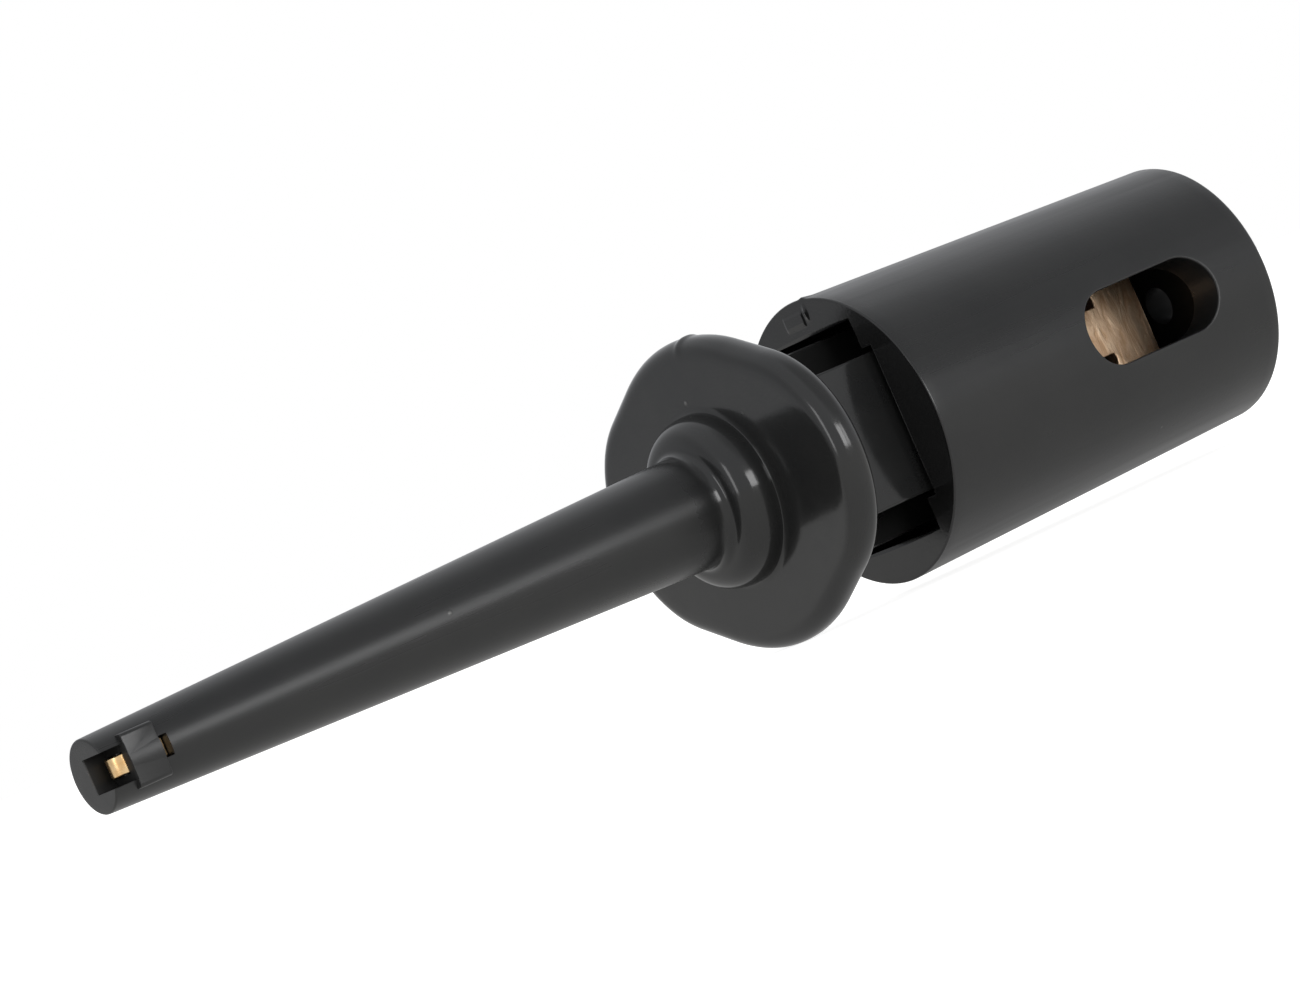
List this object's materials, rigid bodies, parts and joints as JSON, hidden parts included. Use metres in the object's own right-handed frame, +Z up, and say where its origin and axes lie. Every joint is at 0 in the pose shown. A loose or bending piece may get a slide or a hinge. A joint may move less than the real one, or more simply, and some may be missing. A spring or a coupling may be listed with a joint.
{
  "type": "subminiature test clip",
  "caption": "Slim insulated test probe with a sprung retractable hook at the tip, a finger flange, a push barrel and a side window over a solder tab.",
  "frame": {"origin": "bottom centre of the bounding box, under the axis of the clip, midway between the tip and the rear end", "axes": "+X along the axis from the tip to the rear end of the barrel, +Z up, the solder window and the open side of the tip face -Y"},
  "size_m": [0.0418, 0.0126, 0.0096],
  "materials": {
    "nose_plastic": "glossy moulded black nylon",
    "barrel_plastic": "satin moulded black nylon",
    "gold_plated_strip": "bright gold plate on spring strip",
    "copper_alloy": "brushed copper alloy",
    "spring_wire": "drawn stainless spring wire"
  },
  "bodies": {
    "nose": {"nose_body": "nose_plastic", "spring": "spring_wire"},
    "plunger": {"barrel": "barrel_plastic", "hook": "gold_plated_strip", "solder_terminal": "copper_alloy"}
  },
  "joints": [
    {"name": "plunger_slide", "type": "slide", "parent": "nose", "child": "plunger", "axis": [-1, 0, 0], "range_m": [0, 0.00385], "stiffness_N_per_m": 450, "springref_m": -0.002, "deforming": ["spring"]}
  ]
}
